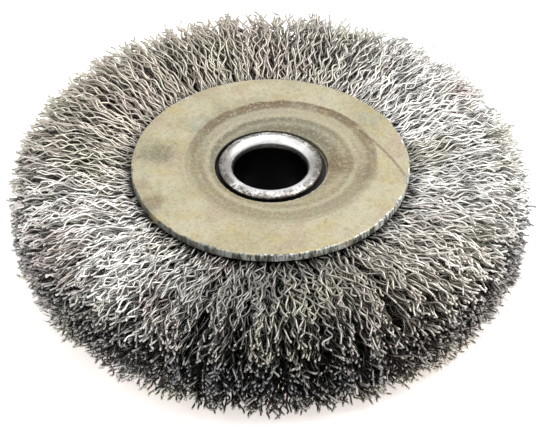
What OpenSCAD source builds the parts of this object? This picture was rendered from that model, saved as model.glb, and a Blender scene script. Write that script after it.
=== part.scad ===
/* [Wire face] */
// Diameter over the wire tips
wheel_d = 100; // [80:1:125]
// Width of the wire face where it is fullest
face_w = 23.4; // [21:0.2:28]
// Radius of the shoulder between the side of the wires and the tread
shoulder_r = 8.2; // [4:0.1:9]
// How far past the plate edge the wires reach their full width
spread_run = 10; // [6:0.5:14]
// Number of wire bundles laid side by side around the core ring
bundle_count = 24; // [16:1:30]

/* [Side plates] */
// Diameter of each side plate
plate_d = 52; // [43:0.5:63]
// Sheet thickness of the side plates
plate_t = 1.5; // [1:0.1:1.8]
// Distance over the outer faces of the two plates
plates_w = 19.4; // [16:0.2:20.8]
// Inner diameter of the flat outer land of the plate
land_d = 36.4; // [34:0.2:40]
// Depth of the pressed step inside the land
step_h = 0.3; // [0.2:0.05:0.5]
// Radial width of the pressed step
step_w = 0.8; // [0.5:0.1:1.2]
// Depth of the dish at the edge of the lip seat
dish_h = 0.65; // [0.55:0.05:0.9]

/* [Hub eyelet] */
// Bore that slides on the spindle
bore_d = 14; // [11.5:0.1:17]
// Wall of the eyelet tube
tube_t = 1; // [0.8:0.1:1.4]
// Radius of the flare from the bore up to the crest of the lip
flare_r = 1.4; // [1.2:0.05:1.8]
// Distance from the crest of the lip out to the middle of its rounded edge
brim_run = 0.85; // [0.7:0.05:1.2]
// How far the brim falls from the crest to its rounded edge
brim_drop = 0.19; // [0.05:0.01:0.3]
// Radius of the rounded edge of the lip
edge_r = 0.45; // [0.35:0.01:0.5]
// Height of the lip, from the seat to its crest
lip_h = 1.5; // [1.35:0.05:1.7]
// How far the crest of the lip lies below the land of the plate
crest_drop = 0.05; // [0:0.05:0.4]

/* [Core ring] */
// Diameter of the wire that the core ring is bent from
core_wire_d = 3.2; // [2.6:0.1:4]
// Gap between the butted ends of the core ring
core_butt = 0.4; // [0.2:0.1:1]
// Thickness of the wires folded around the core ring
fold_t = 3.9; // [3:0.1:4.4]

/* [Fits] */
// Clearance between the eyelet tube and the hole in the plate
hole_clear = 0.15; // [0.05:0.05:0.4]
// Gap between the edge of the lip and the wall of its seat
seat_gap = 0.8; // [0.3:0.05:1]
// Gap between the eyelet tube and the folded wires
core_gap = 3.4; // [1.5:0.1:4]
// Clearance of the wires to the plates, and to the core ring
wire_clear = 0.05; // [0.02:0.01:0.2]
// Gap between neighbouring bundles
bundle_gap = 0.12; // [0.05:0.01:0.4]

/* [Hidden] */
$fn = 96;

wheel_r = wheel_d / 2;
plate_r = plate_d / 2;
land_r = land_d / 2;
bore_r = bore_d / 2;
tube_r = bore_r + tube_t;

// Heights above the middle plane of the wheel
land_z = plates_w / 2;
crest_z = land_z - crest_drop;
seat_z = crest_z - lip_h;
flare_z = crest_z - flare_r;

// The crest of the lip is where the flare ends, and the brim falls from it to a rounded edge
crest_r = bore_r + flare_r;
edge_mid_r = crest_r + brim_run;
edge_mid_z = crest_z - brim_drop - edge_r;
lip_r = edge_mid_r + edge_r;
hole_r = tube_r + hole_clear;

// The underside of the lip bears on the seat next to the tube
lip_bear_r = tube_r + 0.75 * tube_t;
seat_r = lip_r + seat_gap;

// The folded wires clear the tube, and the core ring lies in the fold
core_wire_r = core_wire_d / 2;
fold_r = core_wire_r + wire_clear + fold_t;
core_r = tube_r + core_gap + fold_r;

// The wires bear on the flat land of both plates, past the pressed step and past the fold
bear_z = land_z - plate_t - wire_clear;
bear_r = max(land_r + plate_t / 2, core_r + fold_t / 3);

bundle_angle = 360 / bundle_count;

function reversed(list) = [for (i = [len(list) - 1 : -1 : 0]) list[i]];

function two_digits(n) = n < 10 ? str("0", n) : str(n);

function bundle_name(i) = str("wire_bundle_", two_digits(i + 1));

// What is cut away to round the flare at the mouth of the bore and the outer edge of the lip
module lip_waste() {
    difference() {
        translate([bore_r - edge_r, flare_z]) square([flare_r + edge_r, flare_r + edge_r]);
        translate([crest_r, flare_z]) circle(r = flare_r);
    }
    difference() {
        translate([edge_mid_r, edge_mid_z - 1.5 * edge_r]) square([2 * edge_r, 3 * edge_r]);
        translate([edge_mid_r, edge_mid_z]) circle(r = edge_r);
    }
}

// A tube whose two ends are flared and rolled outwards over the plates
module hub_eyelet() {
    lip_points = [
        [bore_r, crest_z],
        [crest_r, crest_z],
        [edge_mid_r, edge_mid_z + edge_r],
        [lip_r, edge_mid_z + edge_r],
        [lip_r, edge_mid_z - edge_r],
        [edge_mid_r, edge_mid_z - edge_r],
        [lip_bear_r, seat_z],
        [tube_r, seat_z]
    ];
    mirrored = [for (p = reversed(lip_points)) [p[0], -p[1]]];
    color("silver")
    rotate_extrude()
    difference() {
        polygon(concat(lip_points, mirrored));
        lip_waste();
        mirror([0, 1]) lip_waste();
    }
}

// One pressed plate: a flat land, a shallow dish and a sunk seat under the lip
module plate() {
    rotate_extrude()
    polygon([
        [hole_r, seat_z - plate_t],
        [hole_r, seat_z],
        [seat_r, seat_z],
        [seat_r, land_z - dish_h],
        [land_r - step_w, land_z - step_h],
        [land_r, land_z],
        [plate_r, land_z],
        [plate_r, land_z - plate_t],
        [land_r, land_z - plate_t],
        [land_r - step_w, land_z - step_h - plate_t],
        [seat_r + plate_t, land_z - dish_h - plate_t],
        [seat_r + plate_t / 3, seat_z - plate_t]
    ]);
}

module plate_top() {
    color("#cdc6a5") plate();
}

module plate_bottom() {
    color("#cdc6a5") mirror([0, 0, 1]) plate();
}

// The ring that the wires are folded around, bent from round wire with its ends butted
module core_ring() {
    butt_angle = core_butt / core_r * 180 / PI;
    color("dimgray")
    rotate([0, 0, butt_angle / 2])
    rotate_extrude(angle = 360 - butt_angle)
    translate([core_r, 0]) circle(d = core_wire_d);
}

// Outline that the wires fill when seen side on, with rounded shoulders
module face_outline() {
    flat_z = face_w / 2 - shoulder_r;
    difference() {
        translate([0, -face_w / 2]) square([wheel_r, face_w]);
        for (side = [-1, 1]) {
            difference() {
                translate([wheel_r - shoulder_r, side * (flat_z + shoulder_r / 2) - shoulder_r / 2])
                square([shoulder_r, shoulder_r]);
                translate([wheel_r - shoulder_r, side * flat_z]) circle(r = shoulder_r);
            }
        }
    }
}

// The wires fan out from the fold, are held flat between the plates, and spread past the plate edge
module fan_outline() {
    fan_points = [
        [core_r, fold_r],
        [bear_r, bear_z],
        [plate_r + wire_clear, bear_z],
        [plate_r + spread_run, face_w / 2],
        [wheel_r + 1, face_w / 2]
    ];
    mirrored = [for (p = reversed(fan_points)) [p[0], -p[1]]];
    translate([core_r, 0]) circle(r = fold_r);
    polygon(concat(fan_points, mirrored));
}

// One bundle of wires as a solid wedge, folded around the core ring
module wire_bundle(i) {
    gap_angle = bundle_gap / wheel_r * 180 / PI;
    color("#8b8a86")
    rotate([0, 0, i * bundle_angle + gap_angle / 2])
    rotate_extrude(angle = bundle_angle - gap_angle)
    difference() {
        intersection() {
            face_outline();
            fan_outline();
        }
        translate([core_r, 0]) circle(r = core_wire_r + wire_clear);
    }
}

hub_eyelet();
plate_top();
plate_bottom();
core_ring();
for (i = [0 : bundle_count - 1]) wire_bundle(i);
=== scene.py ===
import math

import bpy
import numpy as np
from mathutils import Matrix, Vector


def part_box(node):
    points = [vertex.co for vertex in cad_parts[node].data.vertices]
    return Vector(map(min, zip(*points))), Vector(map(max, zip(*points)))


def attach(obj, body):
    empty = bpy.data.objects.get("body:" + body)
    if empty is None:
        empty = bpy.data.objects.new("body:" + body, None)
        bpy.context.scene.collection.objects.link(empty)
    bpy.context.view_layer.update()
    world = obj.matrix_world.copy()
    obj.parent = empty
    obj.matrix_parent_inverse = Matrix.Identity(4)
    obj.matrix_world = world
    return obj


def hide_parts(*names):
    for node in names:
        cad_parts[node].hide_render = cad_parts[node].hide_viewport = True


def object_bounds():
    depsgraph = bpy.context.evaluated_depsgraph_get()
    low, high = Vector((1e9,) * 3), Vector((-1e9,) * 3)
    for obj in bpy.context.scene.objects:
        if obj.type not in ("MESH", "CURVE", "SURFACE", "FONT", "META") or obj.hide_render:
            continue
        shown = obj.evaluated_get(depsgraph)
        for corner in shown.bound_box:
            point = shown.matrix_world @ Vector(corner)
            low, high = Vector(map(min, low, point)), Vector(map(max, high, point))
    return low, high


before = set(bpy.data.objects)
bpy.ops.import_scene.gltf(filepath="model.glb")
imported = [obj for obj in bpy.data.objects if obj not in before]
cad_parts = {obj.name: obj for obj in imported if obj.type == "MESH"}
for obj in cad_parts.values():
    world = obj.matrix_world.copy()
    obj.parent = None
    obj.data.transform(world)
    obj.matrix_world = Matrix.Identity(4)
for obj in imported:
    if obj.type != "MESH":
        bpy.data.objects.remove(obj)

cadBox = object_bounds()
mm = 0.001


def outerRadius(node):
    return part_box(node)[1].x


wheelRadius = cadBox[1][0]
faceHalf = cadBox[1][2]
floorHeight = cadBox[0][2]
plateRadius = outerRadius("plate_top")
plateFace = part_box("plate_top")[1].z
plateSheet = 1.5 * mm
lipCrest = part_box("hub_eyelet")[1].z
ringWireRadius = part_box("core_ring")[1].z
ringRadius = outerRadius("core_ring") - ringWireRadius
print("wheel radius %.1f mm, plates %.1f mm" % (wheelRadius / mm, plateRadius / mm))


def addPiece(name, mesh, material, replacedNode):
    piece = bpy.data.objects.new(name, mesh)
    bpy.context.scene.collection.objects.link(piece)
    mesh.materials.append(material)
    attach(piece, "root")
    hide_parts(replacedNode)
    return piece


def meshFromArrays(name, points, faces, corners):
    # faces is one long row of point numbers, corners says how many each face takes
    mesh = bpy.data.meshes.new(name)
    mesh.vertices.add(len(points))
    mesh.vertices.foreach_set("co", points.astype(np.float32).ravel())
    mesh.loops.add(len(faces))
    mesh.loops.foreach_set("vertex_index", faces.astype(np.int32))
    mesh.polygons.add(len(corners))
    starts = np.concatenate([[0], np.cumsum(corners)[:-1]])
    mesh.polygons.foreach_set("loop_start", starts.astype(np.int32))
    mesh.update(calc_edges=True)
    mesh.validate()
    mesh.shade_smooth()
    return mesh


def newMaterial(name):
    material = bpy.data.materials.new(name)
    material.use_nodes = True
    tree = material.node_tree
    shader = tree.nodes["Principled BSDF"]
    return material, tree, shader


def addNode(tree, kind, **settings):
    node = tree.nodes.new(kind)
    for key, value in settings.items():
        setattr(node, key, value)
    return node


def placeInMm(tree, stretch=(1000, 1000, 1000)):
    # the place on the piece in millimetres, or stretched along an axis
    scaled = addNode(tree, "ShaderNodeVectorMath", operation="MULTIPLY")
    tree.links.new(addNode(tree, "ShaderNodeTexCoord").outputs["Object"], scaled.inputs[0])
    scaled.inputs[1].default_value = stretch
    return scaled.outputs["Vector"]


def noiseOf(tree, vector, scale, detail=3.0, rough=0.55):
    noise = addNode(tree, "ShaderNodeTexNoise")
    noise.inputs["Scale"].default_value = scale
    noise.inputs["Detail"].default_value = detail
    noise.inputs["Roughness"].default_value = rough
    tree.links.new(vector, noise.inputs["Vector"])
    return noise.outputs["Fac"]


def combine(tree, operation, first, second):
    # first and second are numbers or the outputs of other nodes
    node = addNode(tree, "ShaderNodeMath", operation=operation)
    for socket, value in zip(node.inputs, (first, second)):
        if isinstance(value, (int, float)):
            socket.default_value = value
        else:
            tree.links.new(value, socket)
    return node.outputs["Value"]


def times(tree, first, second):
    return combine(tree, "MULTIPLY", first, second)


def minus(tree, first, second):
    return combine(tree, "SUBTRACT", first, second)


def wobbled(tree, value, noise, size):
    # value, shifted up or down by noise, which makes an even outline ragged
    return combine(tree, "ADD", value, times(tree, minus(tree, noise, 0.5), size))


def ramp(tree, value, start, end, most=1.0):
    # 0 at start and most at end, with no change past either
    node = addNode(tree, "ShaderNodeMapRange", interpolation_type="SMOOTHSTEP")
    node.inputs["From Min"].default_value = start
    node.inputs["From Max"].default_value = end
    node.inputs["To Max"].default_value = most
    tree.links.new(value, node.inputs["Value"])
    return node.outputs["Result"]


def band(tree, value, middle, half, soft):
    # 1 within half of the middle, fading to 0 over soft
    away = combine(tree, "ABSOLUTE", minus(tree, value, middle), 0.0)
    return ramp(tree, away, half + soft, half)


def mixColour(tree, factor, first, second):
    # colours are given as three numbers or as the output of another node
    node = addNode(tree, "ShaderNodeMix", data_type="RGBA")
    tree.links.new(factor, node.inputs[0])
    for socket, colour in ((node.inputs[6], first), (node.inputs[7], second)):
        if isinstance(colour, tuple):
            socket.default_value = (*colour, 1.0)
        else:
            tree.links.new(colour, socket)
    return node.outputs[2]


def radiusFrom(tree, place, centre):
    # distance in millimetres from an upright line through centre
    moved = addNode(tree, "ShaderNodeVectorMath", operation="SUBTRACT")
    tree.links.new(place, moved.inputs[0])
    moved.inputs[1].default_value = (*centre, 0)
    flat = addNode(tree, "ShaderNodeVectorMath", operation="MULTIPLY")
    tree.links.new(moved.outputs["Vector"], flat.inputs[0])
    flat.inputs[1].default_value = (1, 1, 0)
    length = addNode(tree, "ShaderNodeVectorMath", operation="LENGTH")
    tree.links.new(flat.outputs["Vector"], length.inputs[0])
    return length.outputs["Value"]


def heightOf(tree, place):
    # distance in millimetres from the middle plane of the wheel
    split = addNode(tree, "ShaderNodeSeparateXYZ")
    tree.links.new(place, split.inputs[0])
    return combine(tree, "ABSOLUTE", split.outputs["Z"], 0.0)


def setRoughness(tree, shader, noise, least, most):
    spread = addNode(tree, "ShaderNodeMapRange")
    spread.inputs["To Min"].default_value = least
    spread.inputs["To Max"].default_value = most
    tree.links.new(noise, spread.inputs["Value"])
    tree.links.new(spread.outputs["Result"], shader.inputs["Roughness"])


def setBump(tree, shader, height, distance, strength=1.0):
    bump = addNode(tree, "ShaderNodeBump")
    bump.inputs["Strength"].default_value = strength
    bump.inputs["Distance"].default_value = distance
    tree.links.new(height, bump.inputs["Height"])
    tree.links.new(bump.outputs["Normal"], shader.inputs["Normal"])


wireFill = {
    "bundles": 24,
    "wiresPerBundle": 150,
    "layers": 12,
    "wireRadius": 0.195 * mm,
    "sides": 5,
    "crimpPitch": 3.5 * mm,
    "crimpHeight": 0.53 * mm,
    "wander": 0.82 * mm,
    "wanderLength": (9 * mm, 22 * mm),
    "lean": 1.1 * mm,
    "locksAround": 132,
    "locksAcross": 5,
    "lockPull": 0.75,
    "spreadRun": 20 * mm,
    "spreadStart": 0.12,
    "shoulder": 8.2 * mm,
    "foldThickness": 3.4 * mm,
    "tipScatter": 1.5 * mm,
    "strayShare": 0.05,
    "strayLength": (0.2 * mm, 1.2 * mm),
    "outOfRound": 1.0 * mm,
    "visiblePoints": 53,
    "hiddenPoints": 5,
    "foldPoints": 7,
    "seed": 11,
}

# the wires leave the grip of the plates just inside the plate edge
exitRadius = plateRadius - 1.0 * mm
gripHalf = plateFace - plateSheet - 1.3 * wireFill["wireRadius"]


def makeWireMaterial():
    look = {
        "steel": (0.57, 0.56, 0.52),
        "bright": (0.90, 0.89, 0.86),
        # dull steel, and also the colour of the painted shade at the front and back
        "dullAndShade": (0.27, 0.265, 0.25),
        "warm": (0.60, 0.53, 0.43),
        "olive": (0.46, 0.45, 0.36),
        "rosy": (0.53, 0.455, 0.42),
        # the colour of the painted shade on the tread
        "tread": (0.17, 0.17, 0.19),
        "deep": (0.035, 0.034, 0.032),
        # patches as centre, full to, fades out by, strength, all lengths in millimetres
        # the patches of painted light on the sides
        "paintedLightPatches": (((44, 1), 24, 54, 1.0), ((-35, -32), 15, 38, 0.92)),
        "paintedShadePatches": (((2, -41), 12, 31, 0.78), ((2, 42), 10, 30, 0.35)),
        "warmPatches": (((-26, 34), 18, 58, 0.55), ((28, -32), 8, 27, 0.42)),
        "patchWobble": 30.0,
        "brightHeight": (1.0, 5.5),
        "treadRadius": (42.0, 48.0),
        "treadHeight": (6.0, 2.0),
        "treadMost": 0.6,
        "flankRun": 11.0,
        "flankDrop": 1.6,
        "darkDepth": (1.0, 3.2),
        "darkMost": 0.62,
        "brightKeeps": 0.75,
        "darkAtPlate": (3.5, 0.3),
        "darkAtPlateMost": 0.55,
        "roughness": 0.44,
    }
    material, tree, shader = newMaterial("crimped_steel_wire")
    place = placeInMm(tree)
    dirt = noiseOf(tree, place, 0.26, 2.0)
    tint = noiseOf(tree, place, 0.075, 2.0)
    radius = radiusFrom(tree, place, (0, 0))
    height = heightOf(tree, place)

    def patch(centre, near, far, most):
        away = wobbled(tree, radiusFrom(tree, place, centre), dirt, look["patchWobble"])
        return ramp(tree, away, far, near, most)

    # painted light brightens the sides in two patches and painted shade darkens the front and back;
    # elsewhere the wires are duller at random and warmer in places
    firstBright, secondBright = look["paintedLightPatches"]
    paintedLight = combine(tree, "MAXIMUM", patch(*firstBright), patch(*secondBright))
    paintedLight = times(tree, paintedLight, ramp(tree, height, *look["brightHeight"]))
    colour = mixColour(tree, paintedLight, look["steel"], look["bright"])
    colour = mixColour(tree, ramp(tree, dirt, 0.42, 0.70, 0.8), colour, look["dullAndShade"])
    # painted shade darkens the wires at the front and at the back
    for where in look["paintedShadePatches"]:
        colour = mixColour(tree, patch(*where), colour, look["dullAndShade"])
    for where in look["warmPatches"]:
        colour = mixColour(tree, patch(*where), colour, look["warm"])
    colour = mixColour(tree, ramp(tree, tint, 0.54, 0.68, 0.6), colour, look["olive"])
    colour = mixColour(tree, ramp(tree, tint, 0.46, 0.32, 0.6), colour, look["rosy"])

    # painted shade darkens the wire tips at the tread
    shadedTread = ramp(tree, radius, *look["treadRadius"], look["treadMost"])
    shadedTread = times(tree, shadedTread, ramp(tree, height, *look["treadHeight"]))
    colour = mixColour(tree, shadedTread, colour, look["tread"])

    # depth below the rounded shoulder, and below the side that slopes down to the plate
    shoulder = wireFill["shoulder"] / mm
    outward = combine(tree, "MAXIMUM", minus(tree, radius, wheelRadius / mm - shoulder), 0.0)
    upward = combine(tree, "MAXIMUM", minus(tree, height, faceHalf / mm - shoulder), 0.0)
    squares = combine(tree, "ADD", times(tree, outward, outward), times(tree, upward, upward))
    belowShoulder = minus(tree, shoulder, combine(tree, "POWER", squares, 0.5))
    side = addNode(tree, "ShaderNodeMapRange")
    side.inputs["From Min"].default_value = plateRadius / mm
    side.inputs["From Max"].default_value = plateRadius / mm + look["flankRun"]
    side.inputs["To Min"].default_value = plateFace / mm - look["flankDrop"]
    side.inputs["To Max"].default_value = faceHalf / mm
    tree.links.new(radius, side.inputs["Value"])
    depth = combine(tree, "MINIMUM", belowShoulder, minus(tree, side.outputs["Result"], height))

    # painted shade darkens the wires deeper in, and a painted shadow darkens them next to the plate
    atPlate = minus(tree, radius, plateRadius / mm)
    atPlate = ramp(tree, atPlate, *look["darkAtPlate"], look["darkAtPlateMost"])
    colour = mixColour(tree, atPlate, colour, look["deep"])
    depthShade = ramp(tree, depth, *look["darkDepth"], look["darkMost"])
    depthShade = times(tree, depthShade, minus(tree, 1.0, times(tree, paintedLight, look["brightKeeps"])))
    colour = mixColour(tree, depthShade, colour, look["deep"])
    tree.links.new(colour, shader.inputs["Base Color"])
    shader.inputs["Metallic"].default_value = 1.0
    shader.inputs["Roughness"].default_value = look["roughness"]
    return material


def leanField(seed, count=9):
    # a smooth field over the wheel, so that neighbouring wires lean the same way
    rng = np.random.default_rng(seed)
    turns = rng.integers(9, 46, count)
    heights = rng.uniform(-4.0, 4.0, count)
    phases = rng.uniform(0, 2 * math.pi, count)
    weights = rng.uniform(0.5, 1.0, count)
    weights /= np.sqrt((weights ** 2).sum() / 2)

    def field(angle, level):
        total = np.zeros_like(angle)
        for turn, height, phase, weight in zip(turns, heights, phases, weights):
            total += weight * np.sin(turn * angle + height * level + phase)
        return total
    return field


sideways = leanField(3)
upwards = leanField(5)


def smoothStep(x):
    x = np.clip(x, 0, 1)
    return x * x * (3 - 2 * x)


def scattered(x, y):
    # the same number between 0 and 1 each time for the same pair of numbers
    value = np.sin(x * 12.9898 + y * 78.233) * 43758.5453
    return value - np.floor(value)


def lockPull(angle, level, side):
    # how far each wire is drawn to the middle of its lock, as an angle and a level
    around = wireFill["locksAround"]
    across = wireFill["locksAcross"]
    column = np.floor(angle / (2 * math.pi) * around)
    stagger = scattered(column, side)
    row = np.floor(level * across + stagger)
    chance = scattered(column, row + 7 * side)
    middleAngle = (column + 0.25 + 0.5 * scattered(column + 3, row * side)) * 2 * math.pi / around
    middleLevel = (row - stagger + 0.25 + 0.5 * scattered(row - 2, column * side)) / across
    pull = wireFill["lockPull"] * (0.25 + 0.75 * chance)
    return (middleAngle - angle) * pull, (middleLevel - level) * pull


def tipRadius(height):
    # where a wire at this height meets the rounded outline of the face
    shoulder = wireFill["shoulder"]
    over = np.clip(np.abs(height) - (faceHalf - shoulder), 0, shoulder * 0.995)
    return wheelRadius - shoulder + np.sqrt(shoulder ** 2 - over ** 2)


def spreadShare(radius):
    # how far the wires have spread at this radius, from 0 at the plate edge to 1
    start = smoothStep(wireFill["spreadStart"])
    share = smoothStep((radius - plateRadius) / wireFill["spreadRun"] + wireFill["spreadStart"])
    return np.clip((share - start) / (1 - start), 0, 1) ** 0.8


def pointsAt(radius, angle, height):
    return np.stack([radius * np.cos(angle), radius * np.sin(angle), height], axis=2)


def legPath(rng, angle, level, side):
    # the visible part of one half of each folded wire, from the plate edge out to the tip
    count = len(angle)

    def anyTurn():
        return rng.uniform(0, 2 * math.pi, count)[:, None]

    tip = tipRadius(level * faceHalf) - np.abs(rng.normal(0, wireFill["tipScatter"], count))
    stray = rng.random(count) < wireFill["strayShare"]
    tip = tip + np.where(stray, rng.uniform(*wireFill["strayLength"], count), 0)
    # the brush has worn a little out of round
    tip += (0.7 * np.sin(angle) - 0.4 * np.cos(2 * angle) - 0.3) * wireFill["outOfRound"]
    steps = np.linspace(0, 1, wireFill["visiblePoints"])[None, :]
    radius = exitRadius + (tip[:, None] - exitRadius) * steps
    half = gripHalf + (faceHalf - gripHalf) * spreadShare(radius)
    out = np.clip((radius - exitRadius) / (wheelRadius - exitRadius), 0, 1.2)
    towards, across = lockPull(angle, level, side)
    gathered = smoothStep(out * 1.15 - 0.15)
    height = side * (level[:, None] + across[:, None] * gathered) * half

    # the lean that a wire shares with its neighbours, and a slow wander of its own
    shared = side * level
    leaning = wireFill["lean"] * out ** 1.4
    aside = towards[:, None] * gathered * radius + sideways(angle, shared)[:, None] * leaning
    lift = 0.4 * upwards(angle, shared)[:, None] * leaning
    for k in range(2):
        length = rng.uniform(*wireFill["wanderLength"], count)[:, None]
        phase = anyTurn()
        turn = anyTurn()
        bend = wireFill["wander"] * np.sin(radius / length * 2 * math.pi + phase) * np.minimum(out * 3, 1)
        aside += bend * np.cos(turn)
        lift += 0.6 * bend * np.sin(turn)

    # the crimp, a slightly uneven wave in a plane of its own on each wire
    pitch = wireFill["crimpPitch"] * rng.normal(1, 0.10, count)[:, None]
    phase = anyTurn()
    plane = rng.uniform(0, math.pi, count)[:, None]
    size = wireFill["crimpHeight"] * rng.uniform(0.5, 1.3, count)[:, None]
    size = size * np.clip((radius - exitRadius) / (1.5 * mm), 0, 1)
    turn = radius / pitch * 2 * math.pi + phase
    wave = np.sin(turn + 0.5 * np.sin(0.41 * turn + 3 * plane))
    wave *= size * (0.8 + 0.3 * np.sin(0.27 * turn + plane))
    aside += wave * np.cos(plane)
    lift += wave * np.sin(plane) * 0.85
    ceiling = np.where(radius < plateRadius + 0.2 * mm, gripHalf, faceHalf - wireFill["wireRadius"])
    height = np.clip(height + lift, -ceiling, ceiling)
    return pointsAt(radius, angle[:, None] + aside / radius, height)


def hiddenPath(angle, reach, level, side):
    # between the plates, from the fold round the core ring out to where legPath starts
    steps = np.linspace(0, 1, wireFill["hiddenPoints"] + 1)[None, 1:-1]
    start = reach[:, None]
    end = level[:, None] * gripHalf
    height = side * (start + (end - start) * smoothStep(steps))
    radius = np.broadcast_to(ringRadius + (exitRadius - ringRadius) * steps, height.shape)
    return pointsAt(radius, angle[:, None], height)


def foldPath(angle, reach):
    # half a turn round the core ring, on its inner side
    sweep = np.linspace(math.pi / 2, 3 * math.pi / 2, wireFill["foldPoints"])[None, :]
    radius = ringRadius + reach[:, None] * np.cos(sweep)
    return pointsAt(radius, angle[:, None], reach[:, None] * np.sin(sweep))


def sweepTubes(name, paths):
    # a closed tube along each path
    count, points = paths.shape[:2]
    sides = wireFill["sides"]
    ahead = np.gradient(paths, axis=1)
    ahead /= np.linalg.norm(ahead, axis=2, keepdims=True)
    bearing = np.arctan2(paths[:, :, 1], paths[:, :, 0])
    around = np.stack([-np.sin(bearing), np.cos(bearing), np.zeros_like(bearing)], axis=2)
    first = around - (around * ahead).sum(2, keepdims=True) * ahead
    first /= np.linalg.norm(first, axis=2, keepdims=True)
    second = np.cross(ahead, first)
    rings = []
    for k in range(sides):
        turn = 2 * math.pi * k / sides
        rings.append(paths + wireFill["wireRadius"] * (math.cos(turn) * first + math.sin(turn) * second))
    tubePoints = np.stack(rings, axis=2).reshape(-1, 3)

    corner = np.arange(sides)
    nextCorner = (corner + 1) % sides
    ring = (np.arange(count)[:, None, None] * points + np.arange(points - 1)[None, :, None]) * sides
    quads = [ring + corner, ring + nextCorner, ring + nextCorner + sides, ring + corner + sides]
    quads = np.stack(quads, axis=3).reshape(-1)
    firstRing = np.arange(count)[:, None] * points * sides
    firstCaps = (firstRing + corner[::-1]).reshape(-1)
    lastCaps = (firstRing + (points - 1) * sides + corner).reshape(-1)
    faces = np.concatenate([quads, firstCaps, lastCaps])
    corners = np.concatenate([np.full(len(quads) // 4, 4), np.full(2 * count, sides)])
    return meshFromArrays(name, tubePoints, faces, corners)


def makeBundle(index, material):
    rng = np.random.default_rng(wireFill["seed"] * 1000 + index)
    wires = wireFill["wiresPerBundle"]
    layers = wireFill["layers"]
    layer = np.arange(wires) % layers
    column = np.arange(wires) // layers
    columns = math.ceil(wires / layers)
    width = 2 * math.pi / wireFill["bundles"]
    level = (layer + rng.uniform(0.05, 0.95, wires)) / layers
    angle = width * (index + (column + rng.uniform(0, 1, wires)) / columns)
    reach = ringWireRadius + wireFill["wireRadius"] * 1.5 + wireFill["foldThickness"] * level
    upper = legPath(rng, angle, level, 1)
    lower = legPath(rng, angle, level, -1)
    paths = np.concatenate([
        upper[:, ::-1],
        hiddenPath(angle, reach, level, 1)[:, ::-1],
        foldPath(angle, reach),
        hiddenPath(angle, reach, level, -1),
        lower,
    ], axis=1)
    name = "wires_%02d" % (index + 1)
    return addPiece(name, sweepTubes(name, paths), material, "wire_bundle_%02d" % (index + 1))


wireMaterial = makeWireMaterial()
for index in range(wireFill["bundles"]):
    makeBundle(index, wireMaterial)
print("wires made:", wireFill["bundles"] * wireFill["wiresPerBundle"])


def roundedLoop(corners, steps=6):
    # corners of a closed outline as (radius, height, cut), each rounded off by its cut
    loop = []
    for k, (x, z, cut) in enumerate(corners):
        here = np.array([x, z])
        before = np.array(corners[k - 1][:2]) - here
        after = np.array(corners[(k + 1) % len(corners)][:2]) - here
        start = here + before / np.linalg.norm(before) * cut
        end = here + after / np.linalg.norm(after) * cut
        for t in np.linspace(0, 1, steps):
            loop.append(start * (1 - t) ** 2 + 2 * here * t * (1 - t) + end * t ** 2)
    return np.array(loop)


def splitLong(loop, longest):
    # adds points to the long stretches of a closed outline
    out = []
    for k, here in enumerate(loop):
        ahead = loop[(k + 1) % len(loop)]
        pieces = max(1, math.ceil(np.linalg.norm(ahead - here) / longest))
        for j in range(pieces):
            out.append(here + (ahead - here) * j / pieces)
    return np.array(out)


def lathe(name, loop, turns, uneven):
    # turns a closed outline round the bore axis; uneven gives the small shifts of a real piece
    count = len(loop)
    angle = np.linspace(0, 2 * math.pi, turns, endpoint=False)[:, None]
    radius = np.broadcast_to(loop[None, :, 0], (turns, count))
    height = np.broadcast_to(loop[None, :, 1], (turns, count))
    outward, upward = uneven(angle, radius, height)
    points = pointsAt(radius + outward, angle, height + upward).reshape(-1, 3)
    here = np.arange(turns)[:, None] * count
    ahead = (here + count) % (turns * count)
    i = np.arange(count)[None, :]
    nextI = (i + 1) % count
    quads = np.stack([here + i, ahead + i, ahead + nextI, here + nextI], axis=2)
    return meshFromArrays(name, points, quads.reshape(-1), np.full(turns * count, 4))


def ripple(angle, seed, low, high, count=7):
    # an uneven wave round the wheel, between about -1 and 1
    rng = np.random.default_rng(seed)
    total = np.zeros_like(angle)
    for turn in rng.integers(low, high, count):
        total = total + rng.uniform(0.4, 1.0) * np.sin(turn * angle + rng.uniform(0, 2 * math.pi))
    return total / math.sqrt(count)


plateShape = {
    "hole": 8.15 * mm,
    "seatRadius": 10.5 * mm,
    "seatDepth": 1.55 * mm,
    "dishDepth": 0.65 * mm,
    "landRadius": 18.2 * mm,
    "stepWidth": 0.8 * mm,
    "stepHeight": 0.3 * mm,
    "edgeRoll": 0.32 * mm,
    "seatShift": 0.28 * mm,
    "seatRipple": 0.03 * mm,
    "rimRipple": 0.025 * mm,
    "landWave": 0.035 * mm,
    "turns": 480,
}


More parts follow.
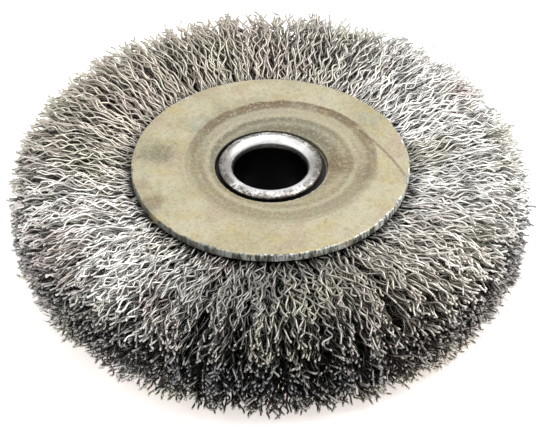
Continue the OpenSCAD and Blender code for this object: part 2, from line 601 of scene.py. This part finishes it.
def makePlate(name, side, material, node):
    shape = plateShape
    top = plateFace
    seat = top - shape["seatDepth"]
    dish = top - shape["dishDepth"]
    stepRadius = shape["landRadius"] - shape["stepWidth"]
    stepTop = top - shape["stepHeight"]
    corners = [
        (shape["hole"], seat - plateSheet, 0.1 * mm),
        (shape["hole"], seat, 0.15 * mm),
        (shape["seatRadius"], seat, 0.2 * mm),
        (shape["seatRadius"], dish, 0.22 * mm),
        (stepRadius - 0.8 * mm, stepTop - 0.04 * mm, 0.7 * mm),
        (shape["landRadius"] + 0.4 * mm, top, 0.8 * mm),
        (plateRadius, top, shape["edgeRoll"]),
        (plateRadius, top - plateSheet, 0.05 * mm),
        (shape["landRadius"], top - plateSheet, 0.5 * mm),
        (stepRadius, stepTop - plateSheet, 0.4 * mm),
        (shape["seatRadius"] + plateSheet, dish - plateSheet, 0.3 * mm),
        (shape["seatRadius"] + plateSheet / 3, seat - plateSheet, 0.3 * mm),
    ]
    loop = splitLong(roundedLoop(corners), 1.2 * mm)

    def uneven(angle, radius, height):
        nearSeat = np.clip((13 * mm - radius) / (2.5 * mm), 0, 1)
        nearRim = np.clip((radius - plateRadius + 0.4 * mm) / (0.3 * mm), 0, 1)
        onLand = np.clip((radius - 12 * mm) / (5 * mm), 0, 1)
        outward = nearSeat * shape["seatShift"] * np.cos(angle + 0.5)
        outward = outward + nearSeat * shape["seatRipple"] * ripple(angle, 21, 20, 70)
        outward = outward + nearRim * shape["rimRipple"] * ripple(angle, 22, 60, 220, 12)
        upward = onLand * shape["landWave"] * ripple(angle + radius * 40, 23, 2, 7)
        return outward, upward

    mesh = lathe(name, loop, shape["turns"], uneven)
    if side < 0:
        mesh.transform(Matrix.Rotation(math.pi, 4, "X"))
    return addPiece(name, mesh, material, node)


eyeletShape = {
    "bore": 7.0 * mm,
    "tube": 1.0 * mm,
    "flare": 1.4 * mm,
    "brimRun": 0.85 * mm,
    "brimDrop": 0.19 * mm,
    "edge": 0.45 * mm,
    "lipHeight": 1.5 * mm,
    "lipBend": 0.05 * mm,
    "lipRipple": 0.028 * mm,
    "crestBend": 0.04 * mm,
    "crestRipple": 0.022 * mm,
    "turns": 480,
}


def arc(centre, radius, start, end, steps):
    turn = np.radians(np.linspace(start, end, steps))
    return np.stack([centre[0] + radius * np.cos(turn), centre[1] + radius * np.sin(turn)], axis=1)


def makeEyelet(material):
    shape = eyeletShape
    seat = lipCrest - shape["lipHeight"]
    tubeRadius = shape["bore"] + shape["tube"]
    crest = shape["bore"] + shape["flare"]
    edgeMiddle = (crest + shape["brimRun"], lipCrest - shape["brimDrop"] - shape["edge"])
    upper = np.concatenate([
        arc((crest, lipCrest - shape["flare"]), shape["flare"], 180, 84, 18),
        arc(edgeMiddle, shape["edge"], 78, -90, 14),
        [[tubeRadius + 0.75 * shape["tube"], seat], [tubeRadius, seat]],
    ])
    lower = upper[::-1] * np.array([1, -1])
    loop = splitLong(np.concatenate([upper, lower])[::-1], 1.0 * mm)

    def uneven(angle, radius, height):
        onLip = np.clip((radius - shape["bore"] - 0.3 * mm) / (2 * mm), 0, 1)
        side = np.where(height > 0, 1.0, -1.0)
        outward = shape["lipBend"] * ripple(angle + side, 31, 2, 9)
        outward = outward + shape["lipRipple"] * ripple(angle + side, 32, 18, 60)
        upward = shape["crestBend"] * ripple(angle + side, 33, 2, 8)
        upward = upward + shape["crestRipple"] * ripple(angle, 34, 20, 64)
        return onLip * outward, side * onLip * upward

    mesh = lathe("eyelet_rolled", loop, shape["turns"], uneven)
    return addPiece("eyelet_rolled", mesh, material, "hub_eyelet")


def makePlateMaterial():
    # all lengths and places are in millimetres
    look = {
        "zinc": (0.345, 0.303, 0.182),
        "paleZinc": (0.44, 0.403, 0.285),
        "greenish": (0.115, 0.113, 0.075),
        "olive": (0.150, 0.120, 0.068),
        "brown": (0.12, 0.075, 0.035),
        "rust": (0.105, 0.050, 0.022),
        "soot": (0.030, 0.027, 0.020),
        # the colour of the painted shade in the seat under the lip
        "seatShade": (0.006, 0.006, 0.005),
        "bare": (0.72, 0.73, 0.70),
        "edgeDark": (0.085, 0.09, 0.07),
        "yellow": (0.40, 0.33, 0.155),
        "pinkish": (0.36, 0.285, 0.20),
        "bluish": (0.285, 0.30, 0.245),
        "roughness": (0.38, 0.66),
        "metallic": 0.35,
        "markCentre": (2.0, 0.9),
        "markRadius": 17.6,
        "shadeCentre": (-0.8, 5.5),
        "shade": (16.5, 8.5, 0.95),
        "scratchCentre": (-14, -18),
        "scratchRadius": 41.4,
        "scratchMiddle": (20.6, 3.5),
        # stains as centre, size and strength
        "stains": (
            ((12.3, 0.5), 4.6, 0.85),
            ((17.6, -3.0), 4.0, 0.40),
            ((-21.6, -11.6), 3.2, 0.6),
            ((-23.5, -6.5), 2.4, 0.4),
        ),
        "blotch": ((-21.5, 3.0), 5.5),
        # where the painted shade in the seat ends
        "seatShadeEdge": (10.55, 10.35),
        # the painted glint on the rim round the seat
        "rimGlintRadius": 10.85,
        "rimGlintMiddle": (7, -9),
        # where the edge is darker
        "darkerSideMiddle": (-25, -12),
    }
    material, tree, shader = newMaterial("zinc_plate")
    place = placeInMm(tree)
    radius = radiusFrom(tree, place, (0, 0))
    broad = noiseOf(tree, place, 0.08, 3.0)
    middling = noiseOf(tree, place, 0.35, 4.0)
    fine = noiseOf(tree, place, 1.5, 4.0, 0.7)
    grain = noiseOf(tree, place, 4.5, 3.0, 0.7)
    tint = noiseOf(tree, placeInMm(tree, (1100, 900, 700)), 0.13, 3.0)
    cloud = noiseOf(tree, placeInMm(tree, (800, 1100, 900)), 0.2, 4.0)
    colour = mixColour(tree, ramp(tree, broad, 0.35, 0.65), look["zinc"], look["paleZinc"])

    def lay(mask, most, name):
        # the colour so far with another one of the look over it, where mask is above 0
        return mixColour(tree, times(tree, mask, most), colour, look[name])

    def near(centre, start, end):
        return ramp(tree, radiusFrom(tree, place, centre), start, end)

    def spot(centre, size):
        # a blotch with a ragged outline
        away = wobbled(tree, radiusFrom(tree, place, centre), middling, size * 1.4)
        return ramp(tree, away, size, size * 0.25)

    colour = lay(ramp(tree, tint, 0.53, 0.66), 0.7, "pinkish")
    colour = lay(ramp(tree, tint, 0.45, 0.32), 0.7, "bluish")
    colour = lay(ramp(tree, cloud, 0.50, 0.62), 0.6, "yellow")

    # inside the mark of the clamping washer the zinc is duller; behind the hub it is greener and darker,
    # partly its own tint and partly painted shade
    mark = wobbled(tree, radiusFrom(tree, place, look["markCentre"]), middling, 0.8)
    colour = lay(ramp(tree, mark, look["markRadius"], look["markRadius"] - 1.0), 0.60, "olive")
    shadeStart, shadeEnd, shadeMost = look["shade"]
    shade = wobbled(tree, radiusFrom(tree, place, look["shadeCentre"]), middling, 5.0)
    colour = lay(ramp(tree, shade, shadeStart, shadeEnd), shadeMost, "greenish")

    # faint rings left by the pressing tool
    rings = addNode(tree, "ShaderNodeTexNoise", noise_dimensions="1D")
    rings.inputs["Scale"].default_value = 0.55
    rings.inputs["Detail"].default_value = 0.6
    tree.links.new(mark, rings.inputs["W"])
    inner = ramp(tree, radius, 18.0, 16.5)
    colour = lay(times(tree, ramp(tree, rings.outputs["Fac"], 0.46, 0.72), inner), 0.55, "paleZinc")
    colour = lay(times(tree, ramp(tree, rings.outputs["Fac"], 0.50, 0.25), inner), 0.40, "brown")

    # the edge of the mark, strongest behind and to the right, and a scratch across it
    line = band(tree, mark, look["markRadius"], 0.22, 0.45)
    halo = band(tree, mark, look["markRadius"] - 0.6, 0.3, 1.1)
    behind = near((4, 14), 27.0, 12.0)
    strength = times(tree, behind, ramp(tree, noiseOf(tree, place, 0.16, 2.0), 0.30, 0.55))
    colour = lay(times(tree, halo, strength), 0.7, "rust")
    colour = lay(times(tree, line, strength), 0.95, "rust")
    within = times(tree, band(tree, mark, look["markRadius"] - 2.6, 0.5, 1.0), behind)
    colour = lay(within, 0.55, "paleZinc")
    fromScratch = radiusFrom(tree, place, look["scratchCentre"])
    scratch = band(tree, fromScratch, look["scratchRadius"], 0.10, 0.40)
    colour = lay(times(tree, scratch, near(look["scratchMiddle"], 10.0, 7.0)), 0.6, "rust")
    colour = lay(band(tree, mark, look["markRadius"], 0.15, 0.5), 0.28, "greenish")

    # stains, specks and grain
    for centre, size, most in look["stains"]:
        colour = lay(spot(centre, size), most, "brown")
    blotch = spot(*look["blotch"])
    colour = lay(blotch, 0.60, "greenish")
    colour = lay(times(tree, blotch, ramp(tree, grain, 0.54, 0.66)), 0.6, "soot")
    colour = lay(ramp(tree, fine, 0.64, 0.78), 0.5, "soot")
    colour = lay(ramp(tree, fine, 0.50, 0.66), 0.35, "olive")
    colour = lay(ramp(tree, fine, 0.48, 0.36), 0.45, "paleZinc")
    colour = lay(ramp(tree, grain, 0.50, 0.68), 0.50, "olive")
    colour = lay(ramp(tree, grain, 0.48, 0.32), 0.60, "paleZinc")

    # painted shade in the seat under the lip, and a painted glint on the rim round it
    colour = lay(ramp(tree, radius, *look["seatShadeEdge"]), 1.0, "seatShade")
    # a painted glint of bare metal on the near part of the rim
    rim = band(tree, radius, look["rimGlintRadius"], 0.12, 0.2)
    rimGlint = times(tree, near(look["rimGlintMiddle"], 10.0, 4.0), ramp(tree, fine, 0.44, 0.60))
    colour = lay(times(tree, rim, rimGlint), 0.6, "bare")

    # the sheared edge is bare metal with upright scuffs, darker on the front left side
    scuffs = noiseOf(tree, placeInMm(tree, (1000, 1000, 220)), 0.95, 4.0, 0.72)
    bare = mixColour(tree, ramp(tree, scuffs, 0.42, 0.58), look["edgeDark"], look["bare"])
    darkerSide = times(tree, near(look["darkerSideMiddle"], 32.0, 12.0), 0.75)
    bare = mixColour(tree, darkerSide, bare, look["edgeDark"])
    edge = wobbled(tree, radius, middling, 1.6)
    edge = ramp(tree, edge, plateRadius / mm - 0.30, plateRadius / mm - 0.08)
    colour = mixColour(tree, edge, colour, bare)

    tree.links.new(colour, shader.inputs["Base Color"])
    shader.inputs["Metallic"].default_value = look["metallic"]
    setRoughness(tree, shader, middling, *look["roughness"])
    grit = combine(tree, "ADD", fine, times(tree, scuffs, edge))
    setBump(tree, shader, grit, 0.05 * mm, 0.4)
    return material


def makeHubMaterial():
    look = {
        "bright": (0.88, 0.875, 0.86),
        "worn": (0.36, 0.35, 0.33),
        "pits": (0.06, 0.055, 0.05),
        "stained": (0.11, 0.09, 0.075),
        "inside": (0.003, 0.003, 0.004),
        "handledSpots": ((-11.5, -0.5), (12.0, -0.5)),
        "roughness": (0.17, 0.47),
    }
    material, tree, shader = newMaterial("rolled_steel_lip")
    place = placeInMm(tree)
    radius = radiusFrom(tree, place, (0, 0))
    patches = noiseOf(tree, place, 0.55, 4.0, 0.6)
    fine = noiseOf(tree, place, 2.0, 4.0, 0.7)

    # the brim is worn and pitted, and stained towards its edge and where it was handled
    brim = ramp(tree, radius, 8.1, 8.9)
    worn = times(tree, ramp(tree, patches, 0.40, 0.58), combine(tree, "ADD", brim, 0.2))
    colour = mixColour(tree, worn, look["bright"], look["worn"])
    pitted = times(tree, ramp(tree, fine, 0.50, 0.64, 0.85), brim)
    colour = mixColour(tree, pitted, colour, look["pits"])
    flank = ramp(tree, wobbled(tree, radius, fine, 5.0), 8.7, 9.9, 0.80)
    colour = mixColour(tree, flank, colour, look["stained"])
    for centre in look["handledSpots"]:
        away = wobbled(tree, radiusFrom(tree, place, centre), fine, 5.0)
        colour = mixColour(tree, ramp(tree, away, 8.0, 3.0, 0.70), colour, look["stained"])

    # painted shade makes the bore dark from just below the flare
    throat = wobbled(tree, heightOf(tree, place), patches, 0.8)
    crest = lipCrest / mm
    bore = times(tree, ramp(tree, throat, crest - 1.3, crest - 2.2), ramp(tree, radius, 7.6, 7.4))
    colour = mixColour(tree, bore, colour, look["inside"])

    tree.links.new(colour, shader.inputs["Base Color"])
    shader.inputs["Metallic"].default_value = 1.0
    setRoughness(tree, shader, fine, *look["roughness"])
    setBump(tree, shader, fine, 0.06 * mm, 0.5)
    return material


def makeRingMaterial():
    look = {"steel": (0.20, 0.19, 0.18), "scale": (0.10, 0.09, 0.08), "roughness": 0.45}
    material, tree, shader = newMaterial("drawn_ring_wire")
    patches = noiseOf(tree, placeInMm(tree), 0.8, 3.0)
    colour = mixColour(tree, ramp(tree, patches, 0.4, 0.65), look["steel"], look["scale"])
    tree.links.new(colour, shader.inputs["Base Color"])
    shader.inputs["Metallic"].default_value = 1.0
    shader.inputs["Roughness"].default_value = look["roughness"]
    setBump(tree, shader, patches, 0.03 * mm)
    return material


plateMaterial = makePlateMaterial()
makePlate("plate_sheet_top", 1, plateMaterial, "plate_top")
makePlate("plate_sheet_bottom", -1, plateMaterial, "plate_bottom")
makeEyelet(makeHubMaterial())
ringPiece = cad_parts["core_ring"]
ringPiece.data.materials.clear()
ringPiece.data.materials.append(makeRingMaterial())
print("plates, eyelet and core ring made")


studio = {
    "floorHalf": 3.0,
    "floorColour": (0.82, 0.815, 0.81),
    "floorGlow": (1.0, 0.91, 0.86),
    "floorGlowStrength": 0.56,
    "floorRoughness": 0.6,
    "keyPower": 4.4,
    "keyPlace": (0.28, 0.02, 0.61),
    "keySize": 0.60,
    "fillPower": 0.7,
    "fillPlace": (-0.55, -0.25, 0.40),
    "fillSize": 0.5,
    "worldStrength": 1.0,
}


def makeFloor():
    half = studio["floorHalf"]
    mesh = bpy.data.meshes.new("floor")
    corners = [(-half, -half, 0), (half, -half, 0), (half, half, 0), (-half, half, 0)]
    mesh.from_pydata(corners, [], [(0, 1, 2, 3)])
    floor = bpy.data.objects.new("floor", mesh)
    floor.location.z = floorHeight
    bpy.context.scene.collection.objects.link(floor)
    material, tree, shader = newMaterial("pale_floor")
    shader.inputs["Base Color"].default_value = (*studio["floorColour"], 1)
    shader.inputs["Roughness"].default_value = studio["floorRoughness"]
    shader.inputs["Emission Color"].default_value = (*studio["floorGlow"], 1)
    shader.inputs["Emission Strength"].default_value = studio["floorGlowStrength"]
    mesh.materials.append(material)


def addAreaLight(name, place, power, size):
    light = bpy.data.lights.new(name, "AREA")
    light.energy = power
    light.size = size
    lamp = bpy.data.objects.new(name, light)
    lamp.location = place
    lamp.rotation_euler = (-Vector(place)).to_track_quat("-Z", "Y").to_euler()
    bpy.context.scene.collection.objects.link(lamp)


def makeLight():
    addAreaLight("key", studio["keyPlace"], studio["keyPower"], studio["keySize"])
    addAreaLight("fill", studio["fillPlace"], studio["fillPower"], studio["fillSize"])
    world = bpy.data.worlds.new("studio")
    world.use_nodes = True
    background = world.node_tree.nodes["Background"]
    background.inputs["Color"].default_value = (1, 1, 1, 1)
    background.inputs["Strength"].default_value = studio["worldStrength"]
    bpy.context.scene.world = world
    bpy.context.scene.view_settings.view_transform = "Standard"


view = {
    "elevation": 40.3,
    "distance": 400 * mm,
    "lens": 139.6,
    "aimRight": 0.30 * mm,
    "aimDown": 2.6 * mm,
}


def makeCamera():
    tilt = math.radians(view["elevation"])
    back = Vector((0, -math.cos(tilt), math.sin(tilt)))
    up = Vector((0, math.sin(tilt), math.cos(tilt)))
    aim = Vector((view["aimRight"], 0, 0)) - up * view["aimDown"]
    data = bpy.data.cameras.new("camera")
    data.lens = view["lens"]
    data.sensor_width = 36
    data.clip_start = 0.01
    camera = bpy.data.objects.new("camera", data)
    camera.location = back * view["distance"]
    camera.rotation_euler = (aim - camera.location).to_track_quat("-Z", "Y").to_euler()
    bpy.context.scene.collection.objects.link(camera)
    bpy.context.scene.camera = camera


makeFloor()
makeLight()
makeCamera()
print("stage, lights and camera made")
